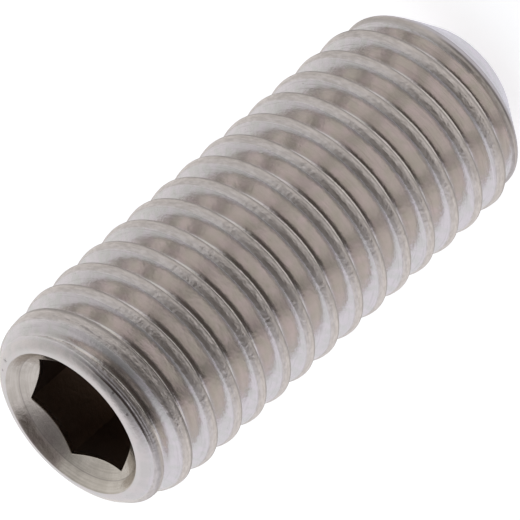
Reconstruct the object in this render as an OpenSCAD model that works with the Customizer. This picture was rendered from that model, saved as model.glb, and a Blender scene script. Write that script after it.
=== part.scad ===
// Hex socket set screw with a cup point, threaded over its whole length.
// Lengths are in millimetres. +Z runs along the screw's axis, towards the end
// with the hex socket. The origin is the centre of the point end, where the
// screw stands.

/* [Thread] */
// Diameter over the full crests of the rolled thread
major_d = 7.92; // [7.76:0.01:7.97]
// Distance from one crest to the next along the axis
pitch = 1.25; // [1:0.05:1.5]
// Height of the thread, from root to crest
thread_depth = 0.745; // [0.6:0.005:0.8]
// Width of the rounded land along a full crest
crest_w = 0.28; // [0.15:0.01:0.3]
// How far the land's edges lie below its middle
crest_drop = 0.045; // [0.02:0.005:0.06]
// Hollow of the rounded root below the flanks' feet
root_drop = 0.03; // [0.01:0.005:0.06]
// Direction from the axis in which a crest meets the socket face
thread_turn = -60; // [-180:1:180]

/* [Body] */
// Overall length, from socket face to point
length = 20.2; // [16:0.1:25]
// Width of the narrow flat rim round the mouth
rim_w = 0.04; // [0.02:0.01:0.2]
// Radius at the lower edge of the rim's rounding
rim_out_r = 3.4; // [3.2:0.01:3.6]
// Depth of that edge below the socket face
rim_drop = 0.25; // [0.2:0.01:0.4]
// Slope of the end chamfer below the rounding, from the axis
rim_angle = 38; // [30:1:50]
// Depth below the face at which the crests reach full height
face_fade = 2.45; // [1.5:0.05:3]
// Share of the thread's height that a crest at the face would lack
face_lack = 0.66; // [0.3:0.01:0.9]

/* [Socket] */
// Width of the hex socket across its flats
socket_af = 4.05; // [3.9:0.01:4.1]
// Depth of the hex socket below the face
socket_depth = 5; // [4:0.1:6]
// Radius of the socket's mouth at the face
mouth_r = 2.86; // [2.7:0.01:2.9]
// Slope of the wall just inside the mouth, from the axis
mouth_angle = 40; // [30:1:50]
// Radius at which that wall meets the countersink round the hex
sink_r = 2.57; // [2.4:0.01:2.65]
// Slope of the countersink, from the axis
sink_angle = 58; // [50:1:62]
// Slope of the drilled cone at the bottom, from the axis
drill_angle = 60; // [55:1:65]

/* [Point] */
// Outer radius of the ring that the cup point bears on
point_r = 2.25; // [2.1:0.05:2.6]
// Width of that ring, from the cup's mouth outwards
ring_w = 0.2; // [0.1:0.05:0.4]
// Slope of the cup's wall, from the axis
cup_angle = 60; // [50:1:65]
// Slope of the bare chamfer round the point, from the axis
point_angle = 48; // [40:1:55]
// Height above the point at which the crests reach full height
point_fade = 3.4; // [2:0.1:4]
// Share of the thread's height that a crest at the point would lack
point_lack = 0.92; // [0.3:0.01:0.95]

/* [Hidden] */
steps = 48;                               // flats to one turn of the thread
eps = 0.01;                               // overlap that keeps cuts clean
crest_r = major_d / 2;
root_r = crest_r - thread_depth;
blank_r = crest_r + 0.1;                  // clear of the thread's full crests
rim_r = mouth_r + rim_w;                  // outer edge of the flat rim
hex_r = socket_af / 2 / cos(30);          // centre to corner of the hex
cup_r = point_r - ring_w;                 // mouth of the cup
flank_h = thread_depth - crest_drop;      // height of a full crest's flanks
flank_angle = 30;                         // sixty-degree thread
foot = crest_w / 2 + flank_h * tan(flank_angle);   // crest's middle to flank's foot

// Depth of a cone between two radii, whose wall slopes away from the axis.
function cone_h(r, angle) = r / tan(angle);

// Share of a fade that is left at a distance d from the end.
function fade(d, reach) = pow(max(0, 1 - d / reach), 2);

// Height of the flanks at height z: rolling leaves the thread unfilled, and so
// low, near both ends.
function flank_at(z) = flank_h * (1 - face_lack * fade(max(0, length - z), face_fade)
                                    - point_lack * fade(max(0, z), point_fade));

// One pitch of the thread at height z, as [radius, height above z]: a flank's
// foot, the rounded land on the crest, the other foot, and the root between
// two crests. A low crest has a wide land, because the flanks keep their slope.
function form(z) = let (h = flank_at(z), land = foot - h * tan(flank_angle)) [
  [root_r, -foot],
  [root_r + h, -land],
  [root_r + h + crest_drop, 0],
  [root_r + h, land],
  [root_r, foot],
  [root_r - root_drop, pitch / 2]
];

// The threaded rod: the thread's form is carried round the axis in a
// right-hand helix, each turn joining the next. It starts a turn below the
// screw and ends a turn above it, with a cone to close each end.
module threaded_rod() {
  m = len(form(0));
  whole = ceil(length / pitch);
  base = length - (whole + 1) * pitch;
  n = steps * (whole + 2);
  function turn(i) = thread_turn + 360 * i / steps;
  function height(i) = base + pitch * i / steps;
  function place(i, p) = [p[0] * cos(turn(i)), p[0] * sin(turn(i)), height(i) + p[1]];
  threads = [for (i = [0 : n], p = form(height(i))) place(i, p)];
  top_foot = [for (i = [n + 1 : n + steps]) place(i, [root_r, -foot])];
  tips = [[0, 0, base - pitch], [0, 0, height(n) + 2 * pitch]];
  points = concat(threads, top_foot, tips);
  low = len(points) - 2;
  high = len(points) - 1;
  // Point j of step i. The last one is the first point of the turn above.
  function at(i, j) = j < m ? i * m + j
                    : i + steps <= n ? (i + steps) * m
                    : (n + 1) * m + i + steps - n - 1;
  skin = [for (i = [0 : n - 1], j = [0 : m - 1])
    each [[at(i, j), at(i, j + 1), at(i + 1, j)],
          [at(i + 1, j), at(i, j + 1), at(i + 1, j + 1)]]];
  bottom = [for (i = [0 : steps - 1]) [at(i, 0), at(i + 1, 0), low]];
  bottom_step = [for (j = [0 : m - 1]) [at(0, j + 1), at(0, j), low]];
  top = [for (i = [n - steps : n - 1]) [at(i + 1, m), at(i, m), high]];
  top_step = [for (j = [0 : m - 1]) [at(n, j), at(n, j + 1), high]];
  polyhedron(points, concat(skin, bottom, bottom_step, top, top_step), convexity = 10);
}

// The turned blank: bare chamfer at the point, rounded rim at the socket end.
module blank() {
  rotate_extrude($fn = steps)
    polygon([
      [0, 0],
      [point_r, 0],
      [blank_r, cone_h(blank_r - point_r, point_angle)],
      [blank_r, length - rim_drop - cone_h(blank_r - rim_out_r, rim_angle)],
      [rim_out_r, length - rim_drop],
      [rim_r + (rim_out_r - rim_r) * 0.6, length - rim_drop * 0.35],
      [rim_r, length],
      [0, length]
    ]);
}

// The socket: mouth and countersink, broached hexagon, and the drilled cone
// at the bottom of it.
module socket() {
  sink_z = length - cone_h(mouth_r - sink_r, mouth_angle);
  floor_z = length - socket_depth;
  rotate_extrude($fn = steps)
    polygon([
      [0, sink_z - cone_h(sink_r, sink_angle)],
      [sink_r, sink_z],
      [mouth_r, length],
      [mouth_r, length + eps],
      [0, length + eps]
    ]);
  translate([0, 0, floor_z])
    cylinder(h = socket_depth, r = hex_r, $fn = 6);
  rotate_extrude($fn = steps)
    polygon([
      [0, floor_z - cone_h(socket_af / 2, drill_angle)],
      [socket_af / 2, floor_z],
      [0, floor_z + eps]
    ]);
}

// The cup in the point: a shallow cone that leaves a ring to bite.
module cup() {
  rotate_extrude($fn = steps)
    polygon([[0, -eps], [cup_r, -eps], [cup_r, 0], [0, cone_h(cup_r, cup_angle)]]);
}

// The whole screw, in plain stainless steel.
module screw() {
  color([0.72, 0.70, 0.68])
    difference() {
      intersection() {
        blank();
        threaded_rod();
      }
      socket();
      cup();
    }
}

screw();
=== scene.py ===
from math import atan2, ceil, cos, pi, radians, sin, tan

import bmesh
import bpy
from mathutils import Matrix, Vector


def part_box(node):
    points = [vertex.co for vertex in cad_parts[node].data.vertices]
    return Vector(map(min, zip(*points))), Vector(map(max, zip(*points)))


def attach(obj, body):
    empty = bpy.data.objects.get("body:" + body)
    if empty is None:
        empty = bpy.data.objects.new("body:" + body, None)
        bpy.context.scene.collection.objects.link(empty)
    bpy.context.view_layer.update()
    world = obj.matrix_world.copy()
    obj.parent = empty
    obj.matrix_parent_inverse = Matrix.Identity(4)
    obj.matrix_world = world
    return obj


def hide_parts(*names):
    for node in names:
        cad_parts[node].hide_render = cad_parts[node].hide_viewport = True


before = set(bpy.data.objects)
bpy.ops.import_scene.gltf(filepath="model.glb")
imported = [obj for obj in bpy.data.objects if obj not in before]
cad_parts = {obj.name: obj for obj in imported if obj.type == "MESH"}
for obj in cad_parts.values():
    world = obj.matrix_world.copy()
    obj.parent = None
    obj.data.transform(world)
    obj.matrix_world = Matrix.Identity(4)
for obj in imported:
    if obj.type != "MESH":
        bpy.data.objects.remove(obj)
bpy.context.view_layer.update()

# ---- Camera -------------------------------------------------------------------------------
# A long lens looks down on the socket end, from above and a little to one side. The camera is
# rolled, so that the screw lies across the frame with its socket at the lower left.
eye = bpy.data.objects.new("camera", bpy.data.cameras.new("camera"))
eye.data.sensor_width = 36
eye.data.lens = 865.87
eye.data.clip_end = 5
eye.matrix_world = (Matrix.Translation((0.00069, -0.00416, 0.0130))
                    @ Matrix.Rotation(radians(10.8), 4, "Z")
                    @ Matrix.Rotation(radians(59.8), 4, "X")
                    @ Matrix.Rotation(radians(-131.48), 4, "Z")
                    @ Matrix.Translation((-0.000012, 0.000010, 0.41635)))
bpy.context.scene.collection.objects.link(eye)
bpy.context.scene.camera = eye

# ---- The screw ----------------------------------------------------------------------------
# One piece of stainless wire. The thread is rolled on over its whole length, which leaves two
# lips on each crest with a fine seam between them. The ends are turned and the hex is broached.
# Lengths in this section are in millimetres until the mesh is scaled down to metres.
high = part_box("screw")[1]
length = high.z * 1000
crest_r = high.x * 1000
pitch = 1.254                      # the dies stretch the wire a little over 1.25
flank_h = 0.70                     # from the foot of a full flank to the edge of its land
crest_drop = 0.045                 # how far the land's edge lies below the top of its lip
root_r = crest_r - flank_h - crest_drop
land_w = 0.14                      # half the width of a full crest's land
far_more = 0.055                   # how much fuller a crest is on the side of the point
foot = land_w + flank_h * tan(radians(30))
socket_loss = 0.66                 # the share of its height that a crest lacks at the socket
socket_reach = 2.45                # how far from the socket face crests are still low
point_reach = 3.4                  # and how far from the point
lip_sag = 0.044                    # how much lower the near lip is than the far one
fold_d, fold_w = 0.005, 0.02       # the fine seam between the lips: its depth and half width
thread_start = radians(-71)        # where a crest runs out into the socket face
long_side = radians(-169)          # where the point's chamfer is at its steepest
ring_r = 2.25                      # the ring round the cup
face_r = 2.9                       # the flat face round the mouth
rim_r, rim_d = 3.4, 0.25           # where the face's rounding ends and the chamfer starts
front = 79.2                       # degrees from the x axis to the front, clockwise
seam_from, seam_to = -36, 52       # the open seam's ends, in degrees clockwise from the front
seam_d, seam_drift = 0.205, 0.0018  # its depth, and how it falls away with each degree
line_d = 0.085                     # how far below it the shallow line lies
columns = 180                      # columns of faces to one turn

# Heights above and below the crest: close together over the land and its edges, and wide apart
# on the straight flanks.
near_half = [0.012, 0.04, 0.08, 0.115, 0.133, 0.150, 0.19, 0.27, 0.36, 0.46, 0.53, 0.56,
             pitch / 2]
far_half = [0.012, 0.03, 0.08, 0.14, 0.175, 0.19, 0.205, 0.24, 0.31, 0.41, 0.51, 0.57, 0.60,
            pitch / 2]
one_pitch = [-w for w in reversed(far_half)] + [0] + near_half


def left(d, reach):
    """The share of a fade that is left at a distance d from an end."""
    return max(0, 1 - max(0, d) / reach) ** 2


def lesser(a, b, r):
    """The lesser of two radii, with the corner between them rounded over r."""
    h = max(r - abs(a - b), 0) / r
    return min(a, b) - h * h * r / 4


def point_radius(z, turn):
    """The point's chamfer, turned a little out of true: steep on one side, bulging opposite."""
    lean = cos(turn - long_side)
    slope = tan(radians(46.6 + 2.3 * lean))
    return ring_r + z * slope + 0.12 * min(0, lean) ** 2 * max(0, z * (1.6 - z))


def blank_radius(z, turn):
    """The turned blank: rounded rim and chamfer at the socket end, bare chamfer at the point."""
    d = length - z
    if d > rim_d:
        rim = rim_r + (d - rim_d) * tan(radians(38))
    else:
        rim = face_r + 0.5 * (d / rim_d) ** 0.56
    return min(rim, point_radius(z, turn))


def thread_radius(z, turn):
    """The rolled thread: rounded root, straight flanks and a land of two lips with a seam."""
    above = (z - length - pitch * (turn - thread_start) / (2 * pi)) % pitch
    w = above if above < pitch / 2 else above - pitch
    crest_z = z - w
    point_loss = 0.71 - 0.05 * cos(turn - long_side)
    h = flank_h * (1 - socket_loss * left(length - crest_z, socket_reach)
                   - point_loss * left(crest_z, point_reach))
    full = h / flank_h
    side = w if w > 0 else -w - far_more
    land = foot - h * tan(radians(30))
    fold = w + 0.006
    sag = lip_sag * full * min(1, fold / (land + 0.006)) ** 1.1 if fold > 0 else 0
    lip = root_r + h + crest_drop - sag - 0.1 * full ** 0.7 * (w + land + far_more)
    lip -= fold_d * max(0, 1 - abs(fold) / fold_w)
    flank = root_r + (foot - side) / tan(radians(30))
    below = (-w if w < 0 else pitch - w) - foot - far_more
    root = root_r + 0.16 * max(0, below)
    edge = 0.028 if w > 0 else 0.01 + 0.05 * (1 - full)
    return -lesser(-lesser(flank, lip, edge), -root, 0.04)


def end_seam(z, turn):
    """The seam that rolling leaves open round part of the last turn, just below the socket
    face, and a shallow line beside it."""
    far_round = (-front - turn * 180 / pi + 180) % 360 - 180
    lag = length - z - seam_d - seam_drift * max(0, far_round + 10)
    gape = max(0, min(1, (far_round - seam_from) / 38))
    gape *= max(0, min(1, (seam_to - far_round) / 25))
    return gape * (0.05 * max(0, 1 - abs(lag) / 0.045)
                   + 0.02 * max(0, 1 - abs(lag - line_d) / 0.03))


# One turn of the helix is spun from a line of heights and copied up the screw.
bm = bmesh.new()
start = length + pitch * (-thread_start / (2 * pi)) - (ceil(length / pitch) + 1) * pitch
line = [bm.verts.new((crest_r, 0, start + w)) for w in one_pitch]
for a, b in zip(line, line[1:]):
    bm.edges.new((a, b))
bmesh.ops.spin(bm, geom=line + bm.edges[:], cent=(0, 0, 0), axis=(0, 0, 1),
               dvec=(0, 0, pitch / columns), angle=2 * pi, steps=columns)
first_turn = bm.verts[:] + bm.edges[:] + bm.faces[:]
for k in range(1, ceil(length / pitch) + 3):
    copy = bmesh.ops.duplicate(bm, geom=first_turn)["geom"]
    bmesh.ops.translate(bm, verts=[e for e in copy if isinstance(e, bmesh.types.BMVert)],
                        vec=(0, 0, k * pitch))
bmesh.ops.remove_doubles(bm, verts=bm.verts, dist=0.002)

# The helix is trimmed where only the turned blank is left, at both ends, and then every point
# takes its radius.
top_cut, low_cut = length - 0.09, 0.76
bmesh.ops.bisect_plane(bm, geom=bm.verts[:] + bm.edges[:] + bm.faces[:], dist=1e-5,
                       plane_co=(0, 0, top_cut), plane_no=(0, 0, 1), clear_outer=True)
bmesh.ops.bisect_plane(bm, geom=bm.verts[:] + bm.edges[:] + bm.faces[:], dist=1e-5,
                       plane_co=(0, 0, low_cut), plane_no=(0, 0, -1), clear_outer=True)
bmesh.ops.remove_doubles(bm, verts=bm.verts, dist=0.002)
by_seam = [e for e in bm.edges if abs(e.verts[0].co.z - e.verts[1].co.z) > 0.02
           and all(0.09 < length - v.co.z < 0.5 for v in e.verts)]
bmesh.ops.subdivide_edges(bm, edges=by_seam, cuts=4)
for v in bm.verts:
    turn = atan2(v.co.y, v.co.x)
    run_out = 0.12 if v.co.z < 4 else 0.03
    r = lesser(thread_radius(v.co.z, turn), blank_radius(v.co.z, turn), run_out)
    r -= end_seam(v.co.z, turn)
    v.co.x, v.co.y = r * cos(turn), r * sin(turn)


def rings(edges, profile):
    """Carries a ring of edges through a list of rings, each a radius and a height or a rule
    that gives them for a direction from the axis."""
    for place in profile:
        made = bmesh.ops.extrude_edge_only(bm, edges=edges)["geom"]
        edges = [e for e in made if isinstance(e, bmesh.types.BMEdge)]
        for v in (e for e in made if isinstance(e, bmesh.types.BMVert)):
            turn = atan2(v.co.y, v.co.x)
            r, z = place(turn) if callable(place) else place
            v.co = (r * cos(turn), r * sin(turn), z)
    return edges


def close(edges, tip):
    """Closes a ring of edges in a point on the axis."""
    made = bmesh.ops.extrude_edge_only(bm, edges=edges)["geom"]
    bmesh.ops.pointmerge(bm, verts=[e for e in made if isinstance(e, bmesh.types.BMVert)],
                         merge_co=tip)


def ring_at(z):
    """The open ring of edges at a height where the helix was trimmed."""
    return [e for e in bm.edges if e.is_boundary and abs(e.verts[0].co.z - z) < 0.01]


# The rim, the mouth's wall, the countersink, the broached hexagon and the drilled cone.
mouth_r, sink_r = 2.86, 2.57       # the mouth's wall at its top and at its foot
sink_d = (mouth_r - sink_r) / tan(radians(40))
sink_slope = tan(radians(58))
hex_d, drill_r = 5, 2.02           # the hexagon's depth, and the hole drilled for it


def hex_radius(turn, across=4.05):
    """The hexagon's wall, seen from the axis, with a corner on the x axis."""
    return across / 2 / cos((turn % (pi / 3)) - pi / 6)


def scallop(outside, below=0.0):
    """The edge where the hexagon's flats run out through the countersink."""
    def place(turn):
        r = hex_radius(turn) + outside
        return r, length - sink_d - (sink_r - r) / sink_slope - below
    return place


def wall(depth, inset=0.0):
    return lambda turn: (hex_radius(turn) - inset, length - depth)


def rim(depth):
    return lambda turn: (blank_radius(length - depth, turn), length - depth)


def chamfer(z):
    return lambda turn: (point_radius(z, turn), z)


socket = rings(ring_at(top_cut), [
    rim(0.055), rim(0.028), rim(0.010), (2.925, length - 0.002), (2.895, length),
    (2.872, length - 0.003), (2.852, length - 0.014), (2.835, length - 0.032),
    (2.75, length - 0.133), (2.66, length - 0.24), (sink_r + 0.02, length - sink_d + 0.026),
    (sink_r - 0.015, length - sink_d - 0.007), scallop(0.04), scallop(0.012),
    scallop(0, 0.012), scallop(0, 0.05), wall(1.2), wall(2.2), wall(3.6), wall(4.9),
    wall(hex_d, 0.03), (1.9, length - 5.07)])
close(socket, (0, 0, length - hex_d - drill_r / tan(radians(60))))

# The bare chamfer, the ring that bites, and the cup.
point = rings(ring_at(low_cut), [
    chamfer(0.57), chamfer(0.38), chamfer(0.22), chamfer(0.1), (2.286, 0.035), (2.262, 0.016),
    (2.235, 0.004), (2.20, 0.0), (2.085, 0.0), (2.06, 0.004), (2.035, 0.014), (1.97, 0.048),
    (1.5, 0.32), (0.9, 0.665), (0.3, 1.01)])
close(point, (0, 0, 1.05))

bmesh.ops.recalc_face_normals(bm, faces=bm.faces)
for f in bm.faces:
    f.smooth = True
for e in bm.edges:
    e.smooth = e.calc_face_angle(0) < radians(40)
bmesh.ops.scale(bm, verts=bm.verts, vec=(0.001, 0.001, 0.001))
mesh = bpy.data.meshes.new("grub_screw")
bm.to_mesh(mesh)
bm.free()
screw = bpy.data.objects.new("grub_screw", mesh)
bpy.context.scene.collection.objects.link(screw)


class Shade:
    """A value in a node tree, so that a finish is written as plain sums."""

    def __init__(self, tree, socket=None):
        self.tree, self.socket = tree, socket

    def node(self, kind, settings=None, sockets=None, out=0):
        new = self.tree.nodes.new(kind)
        for name, value in (settings or {}).items():
            setattr(new, name, value)
        for name, value in (sockets or {}).items():
            if isinstance(value, Shade):
                self.tree.links.new(value.socket, new.inputs[name])
            else:
                new.inputs[name].default_value = value
        return Shade(self.tree, new.outputs[out])

    def math(self, operation, *others):
        return self.node("ShaderNodeMath", {"operation": operation},
                         dict(enumerate((self,) + others)))

    def __add__(self, other): return self.math("ADD", other)
    def __radd__(self, other): return self.math("ADD", other)
    def __sub__(self, other): return self.math("SUBTRACT", other)
    def __mul__(self, other): return self.math("MULTIPLY", other)
    def __rmul__(self, other): return self.math("MULTIPLY", other)
    def __truediv__(self, other): return self.math("DIVIDE", other)
    def __pow__(self, other): return self.math("POWER", other)

    def __rsub__(self, other):
        return self.node("ShaderNodeMath", {"operation": "SUBTRACT"}, {0: other, 1: self})

    def step(self, a, b):
        """Rises smoothly from 0 at a to 1 at b."""
        return self.node("ShaderNodeMapRange", {"interpolation_type": "SMOOTHSTEP"},
                         {"Value": self, "From Min": a, "From Max": b})

    def mix(self, a, b):
        """A colour between a, where this is 0, and b, where it is 1."""
        return self.node("ShaderNodeMix", {"data_type": "RGBA"}, {0: self, 6: a, 7: b}, out=2)

    def noise(self, scale, detail=2.0, roughness=0.5):
        """A cloudy pattern over a place."""
        return self.node("ShaderNodeTexNoise", {}, {"Vector": self, "Scale": scale,
                                                    "Detail": detail, "Roughness": roughness})

    def streaks(self, x, y, z=0.0):
        """A place made of three measures, for a pattern that is drawn out one way."""
        return self.node("ShaderNodeCombineXYZ", {}, {0: x, 1: y, 2: z})


steel = bpy.data.materials.new("rolled_stainless")
steel.use_nodes = True
tree = steel.node_tree
metal = tree.nodes["Principled BSDF"]
metal.inputs["Metallic"].default_value = 1

# Where a point of the skin lies: round the axis, out from it, below the socket face, and over
# the nearest crest, with w above zero on the side of the socket.
at = Shade(tree).node("ShaderNodeTexCoord", out="Object")
x, y, z = [at.node("ShaderNodeSeparateXYZ", {}, {0: at}, out=k) * 1000 for k in range(3)]
from_axis = (x * x + y * y) ** 0.5
depth = length - z
turn = y.math("ARCTAN2", x)
turn_degrees = turn * (180 / pi)
far_round = turn * (-180 / pi) - front
w = (((z - length) / pitch - (turn - thread_start) / (2 * pi) + 0.5).math("FRACT") - 0.5) * pitch
crest_z = z - w
low_crest = ((crest_z - (length - socket_reach)) / socket_reach).math("MAXIMUM", 0)
low_crest = low_crest ** 2 * socket_loss
low_crest = low_crest + ((point_reach - crest_z) / point_reach).math("MAXIMUM", 0) ** 2 * 0.92

in_root = from_axis.step(3.52, 3.22) * from_axis.step(3.0, 3.1)
on_land = ((w + far_more / 2).math("ABSOLUTE") - low_crest * 0.4).step(0.2175, 0.1775)
on_land = on_land * from_axis.step(3.40, 3.44)
on_lip = depth.step(0.20, 0.16) * from_axis.step(2.87, 2.91)
in_mouth = from_axis.step(2.90, 2.86) * depth.step(0.9, 0.7)
sink_z = from_axis / sink_slope + (length - sink_d - sink_r / sink_slope)
in_hex = (sink_z - z).step(0.01, 0.25) * from_axis.step(2.48, 2.42) * z.step(4, 5)

# The patterns that the finishes share. The drawn one follows the thread, and the turned one
# lies in rings.
mottle = at.noise(2200, 3)
ragged = at.noise(9000, 3)
torn = at.streaks(turn * 9, w * 8, z * 2.2).noise(1.4, 4, 0.6)
drawn = at.streaks(turn * 2.5, w * 34, z * 0.3).noise(1, 2)
turned = at.streaks(turn * 1.5, from_axis * 22).noise(1, 3)

# Flanks and roots: warm bright steel with small dull specks, and painted shade down in the root.
tint = mottle.step(0.38, 0.62).mix((0.65, 0.616, 0.577, 1), (0.70, 0.638, 0.627, 1))
specks = at.noise(9000, 2).step(0.70, 0.78)
tint = (specks * 0.5).mix(tint, (0.336, 0.30, 0.28, 1))
# Painted shade darkens the root.
tint = (in_root * 0.25).mix(tint, (0.45, 0.40, 0.37, 1))

# Lands: rubbed and streaky, with painted shade along the far lip, and darker on the last crest
# at the point.
land_wear_and_shade = torn.step(0.35, 0.65).mix((0.56, 0.51, 0.48, 1), (0.683, 0.627, 0.60, 1))
# Painted shade: the far half of each land is darkened.
far_lip_shade = w.step(-0.08, -0.185) * (1 - low_crest)
land_wear_and_shade = (far_lip_shade * 0.85).mix(land_wear_and_shade, (0.25, 0.224, 0.213, 1))
land_wear_and_shade = (z.step(2.75, 1.9) * 0.6).mix(land_wear_and_shade, (0.47, 0.426, 0.392, 1))
tint = on_land.mix(tint, land_wear_and_shade)

# Mouth: turned rings, painted shade down one side, and a dark line at the countersink's edge.
mouth_tint = (turned * 0.5 + mottle * 0.5).step(0.35, 0.65)
mouth_tint = mouth_tint.mix((0.48, 0.43, 0.364, 1), (0.605, 0.543, 0.47, 1))
# Painted shade down one side of the mouth's wall.
mouth_shade = turn_degrees.step(50, 95) * turn_degrees.step(121, 113)
mouth_shade = mouth_shade * (0.75 + (mottle - 0.5) * 1.5)
mouth_tint = mouth_shade.mix(mouth_tint, (0.37, 0.308, 0.274, 1))
sink_edge = (from_axis - sink_r).math("ABSOLUTE").step(0.022, 0.006)
mouth_tint = (sink_edge * 0.45).mix(mouth_tint, (0.224, 0.19, 0.168, 1))
tint = in_mouth.mix(tint, mouth_tint)

# The lip round the mouth is bright, and fine dark lines are drawn along the thread.
tint = (on_lip * (0.3 + mottle.step(0.42, 0.62) * 0.5)).mix(tint, (0.67, 0.605, 0.56, 1))
lines = drawn.step(0.56, 0.64) * (1 - in_mouth) * (1 - on_lip)
lines = lines * (z.step(11, 3) * 0.1 + 0.1)
tint = lines.mix(tint, (0.336, 0.297, 0.28, 1))

# The seam under the socket face and the shallow line beside it are darkened with painted shade,
# and the first crests are torn along their upper edges. A few knocks mark the rim and the crests.
gape = far_round.step(seam_from, 2) * far_round.step(seam_to, 27) * from_axis.step(3.0, 3.1)
lag = depth - seam_d - (far_round + 10).math("MAXIMUM", 0) * seam_drift
beside = (lag - line_d).math("ABSOLUTE").step(0.022, 0.006) * 0.6
# Painted shade in the open seam and the shallow line beside it.
seam_shade = gape * (lag.math("ABSOLUTE").step(0.040, 0.018) + beside)
upper_edge = w.step(0.04, 0.08) * w.step(0.19, 0.14) * from_axis.step(3.7, 3.8)
tears = upper_edge * torn.step(0.50, 0.58) * depth.step(2.0, 1.6)
tears = tears * far_round.step(-80, -45) * far_round.step(65, 30)


def knock(angle, r, depth, size):
    """Where something hard has struck, at an angle round the axis, a radius and a depth."""
    place = (r * cos(radians(angle)) / 1000, r * sin(radians(angle)) / 1000,
             (length - depth) / 1000)
    gap = at.node("ShaderNodeVectorMath", {"operation": "DISTANCE"}, {0: at, 1: place}, out=1)
    return (gap * 1000 + (ragged - 0.5) * size * 3).step(size, size * 0.5)


# The knocks and tears are marks on the metal; the seam's part is painted shade.
marks_and_shade = seam_shade + tears * 0.5
for angle, r, down, size in ((21, 3.08, 0.0, 0.10), (32, 3.09, 0.0, 0.07), (-82, 3.3, 0.15, 0.07),
                             (-97, 3.25, 0.10, 0.07), (-127, 3.95, 1.27, 0.07),
                             (-43, 3.96, 2.08, 0.08), (-116, 3.95, 2.25, 0.06)):
    marks_and_shade = marks_and_shade + knock(angle, r, down, size) * 0.7
marks_and_shade = marks_and_shade.math("MINIMUM", 1)
tint = marks_and_shade.mix(tint, (0.112, 0.09, 0.084, 1))

# Painted shade: a dark line where the chamfer of the point meets the last crest, a painted
# shadow in the groove below the first crest, and the darkened inside of the hexagon.
# Painted shade along the top edge of the point's chamfer, on the front side only.
bare = z * ((turn - long_side).math("COSINE") * 0.085 + 1.0575) + (ring_r - from_axis)
chamfer_line_shade = bare.step(0.015, 0.05) * bare.step(0.15, 0.09) * z.step(2.4, 2.2)
chamfer_line_shade = chamfer_line_shade * far_round.step(-30, -12) * far_round.step(48, 30)
tint = (chamfer_line_shade * (0.6 + torn * 0.4)).mix(tint, (0.134, 0.118, 0.112, 1))
# Painted shadow in the groove below the first crest, on the front side only.
groove_shadow = depth.step(0.68, 0.84) * depth.step(1.06, 0.92) * from_axis.step(3.70, 3.5)
groove_shadow = groove_shadow * far_round.step(-22, -2) * far_round.step(42, 24) * from_axis.step(3.0, 3.1)
tint = (groove_shadow * 0.5).mix(tint, (0.246, 0.224, 0.218, 1))
# Painted shade inside the hexagon.
tint = in_hex.mix(tint, (0.36, 0.29, 0.24, 1))
tree.links.new(tint.socket, metal.inputs["Base Color"])

rough = at.noise(2500, 4) * 0.10 + 0.15 + on_land * 0.2 + marks_and_shade * 0.2 + in_hex * 0.1
tree.links.new(rough.socket, metal.inputs["Roughness"])
worn = (at.noise(6000, 4, 0.6) - 0.5) * (on_land * 3 + 1)
bump = worn.node("ShaderNodeBump", {}, {"Strength": 0.35, "Distance": 0.00003, "Height": worn})
tree.links.new(bump.socket, metal.inputs["Normal"])
mesh.materials.append(steel)

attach(screw, "root")
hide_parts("screw")

# ---- Floor and light ----------------------------------------------------------------------
# A plain round white floor under a white studio, with no lamps. The studio has a dark side in
# front of the screw, and the floor takes on that dark in what the metal mirrors. Bearings are
# counted from the front, in degrees.


def bearing(way):
    """The angles of a direction round the screw and above the floor, its length along the
    floor, and how far it goes to the left of the front and to the front."""
    turned = radians(10.8)
    ahead, aside = [way.node("ShaderNodeVectorMath", {"operation": "DOT_PRODUCT"},
                             {0: way, 1: to}, out=1)
                    for to in ((sin(turned), -cos(turned), 0), (-cos(turned), -sin(turned), 0))]
    rise = way.node("ShaderNodeSeparateXYZ", {}, {0: way}, out=2)
    flat = (ahead * ahead + aside * aside) ** 0.5
    return (aside.math("ARCTAN2", ahead) * (180 / pi), rise.math("ARCTAN2", flat) * (180 / pi),
            flat, aside, ahead)


def between(angle, a, b, soft):
    """Is 1 from a to b, and fades over soft to either side of both."""
    return angle.step(a - soft, a + soft) * (1 - angle.step(b - soft, b + soft))


floor_mesh = bmesh.new()
bmesh.ops.create_circle(floor_mesh, cap_ends=True, segments=96, radius=0.6)
ground = bpy.data.meshes.new("floor")
floor_mesh.to_mesh(ground)
floor_mesh.free()
floor = bpy.data.objects.new("floor", ground)
bpy.context.scene.collection.objects.link(floor)

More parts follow.
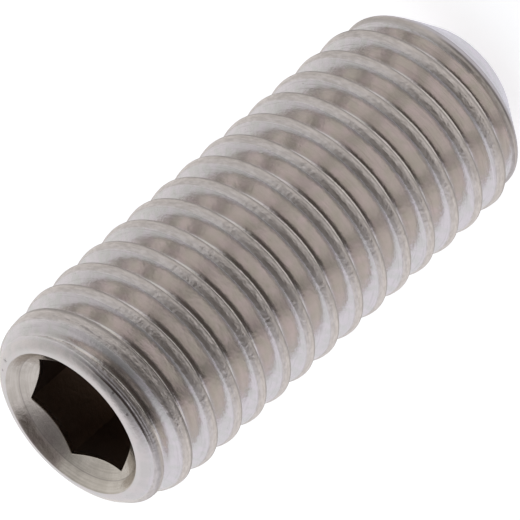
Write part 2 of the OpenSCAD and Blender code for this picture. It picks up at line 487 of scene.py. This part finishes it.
# Seen straight, the floor is white but for the screw's shadow. In a mirror it is white too,
# with the dark side, four narrow dark bands, and a faint blue close to the screw.
paint = bpy.data.materials.new("white_floor")
paint.use_nodes = True
tree = paint.node_tree
matt = tree.nodes["Principled BSDF"]
matt.inputs["Base Color"].default_value = (0.9, 0.9, 0.9, 1)
matt.inputs["Roughness"].default_value = 0.9
matt.inputs["Specular IOR Level"].default_value = 0.1
shine = Shade(tree, matt.outputs[0])
to_camera = shine.node("ShaderNodeLightPath", out="Is Camera Ray")
lift = shine.node("ShaderNodeEmission", {}, {"Color": (1, 1, 1, 1), "Strength": to_camera * 0.58})
seen = shine.node("ShaderNodeAddShader", {}, {0: shine, 1: lift})
round_it, _, far, _, _ = bearing(shine.node("ShaderNodeTexCoord", out="Object"))
shade = between(round_it, -30, 67, 14) * far.step(0.032, 0.058) * 0.86
bands = between(round_it, 50, 66, 6) * 0.4 + between(round_it, -34, -20, 6) * 0.3
bands = bands + between(round_it, -78, -64, 4) * 0.65 + between(round_it, -112, -98, 4) * 0.65
bands = bands * far.step(0.004, 0.008)
under = far.step(0.006, 0.004)
level = (0.9 + between(round_it, -150, -58, 15) * 0.1
         + between(round_it, 75, 150, 15) * 0.1)
mirrored = shine.node("ShaderNodeEmission", {}, {
    "Color": under.mix((1, 0.99, 0.98, 1), (0.89, 0.90, 1.0, 1)),
    "Strength": (1 - shade) * (1 - bands) * level})
to_metal = shine.node("ShaderNodeLightPath", out="Is Glossy Ray")
both = shine.node("ShaderNodeMixShader", {}, {0: to_metal, 1: seen, 2: mirrored})
tree.links.new(both.socket, tree.nodes["Material Output"].inputs["Surface"])
ground.materials.append(paint)

# The studio is white, dimmer overhead and a little bluer on the left, with its dark side in
# front. Seen straight, all of it is plain white.
sky = bpy.data.worlds.new("studio")
bpy.context.scene.world = sky
sky.use_nodes = True
tree = sky.node_tree
air = Shade(tree, tree.nodes["Background"].outputs[0])
round_it, rise, _, aside, ahead = bearing(air.node("ShaderNodeTexCoord", out="Generated"))
dark = between(round_it, -30, 67, 14) * (1 - rise.step(41, 69))
bands = between(round_it, -78, -64, 4) * 0.65 + between(round_it, -112, -98, 4) * 0.65
dark = dark + bands * (1 - rise.step(0, 20))
lid = (rise.step(34, 66) * 0.5 + rise.step(58, 80) * 0.25) * ahead.step(-0.45, 0.1)
lid = lid * (aside.step(-0.5, -0.1) * 0.5 + 0.5)
right_lid = aside.step(-0.05, -0.6) * rise.step(18, 45) * 0.25
white = aside.step(-0.7, 0.7).mix((0.89, 0.91, 0.945, 1), (0.89, 0.915, 1.0, 1))
white = (lid + right_lid).mix(white, (0, 0, 0, 1))
studio = dark.mix(white, (0.098, 0.085, 0.076, 1))
light = air.node("ShaderNodeLightPath", out="Is Camera Ray").mix(studio, (1, 1, 1, 1))
tree.links.new(light.socket, tree.nodes["Background"].inputs["Color"])

bpy.context.scene.view_settings.view_transform = "Standard"
